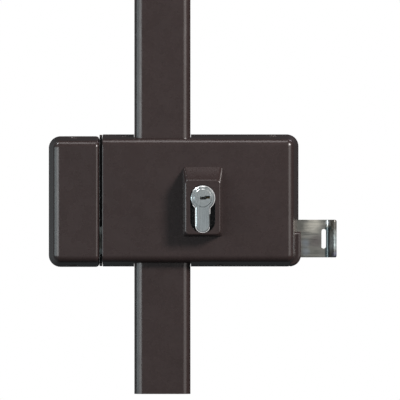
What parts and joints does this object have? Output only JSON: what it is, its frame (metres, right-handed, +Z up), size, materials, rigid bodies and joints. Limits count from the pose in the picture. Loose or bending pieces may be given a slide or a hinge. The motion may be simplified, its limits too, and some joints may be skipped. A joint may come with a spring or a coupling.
{
  "type": "three-point lock",
  "caption": "Rim lock for a door: a keyed cylinder drives a side deadbolt and upper and lower rods under covers, beside a sprung latch with a pull tab and its keeper.",
  "frame": {"origin": "the cylinder's axis where it crosses the door's face", "axes": "+X to the right seen from the room, away from the keeper; +Z up along the rods; +Y into the door, so the front faces -Y"},
  "size_m": [0.2057, 0.0908, 0.2852],
  "materials": {
    "brown_paint": "satin dark brown enamel",
    "zinc_plate": "zinc-plated sheet steel",
    "bright_steel": "plated steel, lightly brushed",
    "gear_steel": "oiled sintered steel",
    "satin_nickel": "satin nickel plate",
    "pin_brass": "turned brass",
    "spring_steel": "spring steel",
    "rivet_steel": "plain steel",
    "zinc_screw": "zinc-plated steel",
    "dark_screw": "brown-coated steel",
    "black_nylon": "moulded nylon"
  },
  "bodies": {
    "lock_case": {"base_plate": "brown_paint", "gear_stud": "gear_steel", "stud_washer": "gear_steel", "stud_circlip": "spring_steel", "strap_guide": "black_nylon", "bolt_guide": "zinc_plate", "bolt_guide_rivet": "rivet_steel", "cylinder_body": "satin_nickel", "outer_plug": "satin_nickel", "outer_plug_clip": "spring_steel", "outer_key_pins": "pin_brass", "inner_driver_pins": "pin_brass", "outer_driver_pins": "pin_brass", "inner_pin_springs": "spring_steel", "outer_pin_springs": "spring_steel", "cylinder_bracket": "zinc_plate", "bracket_rivet": "rivet_steel", "cylinder_screw": "zinc_screw", "case_cover": "brown_paint", "case_cover_screws": "dark_screw", "cylinder_guard": "brown_paint", "guard_screws": "zinc_screw", "upper_rod_cover": "brown_paint", "lower_rod_cover": "brown_paint", "upper_rod_guide": "black_nylon", "lower_rod_guide": "black_nylon", "rod_cover_screws": "dark_screw", "keeper_bracket": "zinc_plate", "keeper_cover": "brown_paint", "keeper_cover_screws": "dark_screw"},
    "key_plug": {"inner_plug": "satin_nickel", "inner_plug_clip": "spring_steel", "inner_key_pins": "pin_brass", "toothed_cam": "gear_steel", "cam_coupling": "spring_steel"},
    "drive_gear": {"drive_wheel": "gear_steel", "drive_pinion": "gear_steel"},
    "upper_rod": {"upper_rack": "bright_steel", "upper_rod": "bright_steel", "upper_rod_rivets": "rivet_steel"},
    "lower_rod": {"lower_rack": "bright_steel", "lower_rod": "bright_steel", "lower_rod_rivets": "rivet_steel"},
    "deadbolt": {"deadbolt": "bright_steel"},
    "latch": {"latch_head": "bright_steel", "latch_strap": "bright_steel", "latch_rivets": "rivet_steel", "spring_rod": "bright_steel", "latch_spring": "spring_steel"}
  },
  "joints": [
    {"name": "drive_turn", "type": "hinge", "parent": "lock_case", "child": "drive_gear", "pos_m": [-0.02875, 0, 0], "axis": [0, 1, 0], "range_deg": [0, 100]},
    {"name": "key_turn", "type": "hinge", "parent": "lock_case", "child": "key_plug", "pos_m": [0, 0, 0], "axis": [0, 1, 0], "range_deg": [-360, 0]},
    {"name": "upper_rod_slide", "type": "slide", "parent": "lock_case", "child": "upper_rod", "axis": [0, 0, 1], "range_m": [0, 0.01745]},
    {"name": "lower_rod_slide", "type": "slide", "parent": "lock_case", "child": "lower_rod", "axis": [0, 0, -1], "range_m": [0, 0.01745]},
    {"name": "deadbolt_slide", "type": "slide", "parent": "lock_case", "child": "deadbolt", "axis": [-1, 0, 0], "range_m": [0, 0.01745]},
    {"name": "latch_slide", "type": "slide", "parent": "lock_case", "child": "latch", "axis": [1, 0, 0], "range_m": [0, 0.0115], "stiffness_N_per_m": 300, "springref_m": -0.02, "deforming": ["latch_spring"]}
  ],
  "couplings": [
    {"joint": "drive_turn", "follows": "deadbolt_slide", "rad_per_m": 100},
    {"joint": "key_turn", "follows": "deadbolt_slide", "rad_per_m": -360},
    {"joint": "upper_rod_slide", "follows": "deadbolt_slide", "ratio": 1},
    {"joint": "lower_rod_slide", "follows": "deadbolt_slide", "ratio": 1}
  ]
}
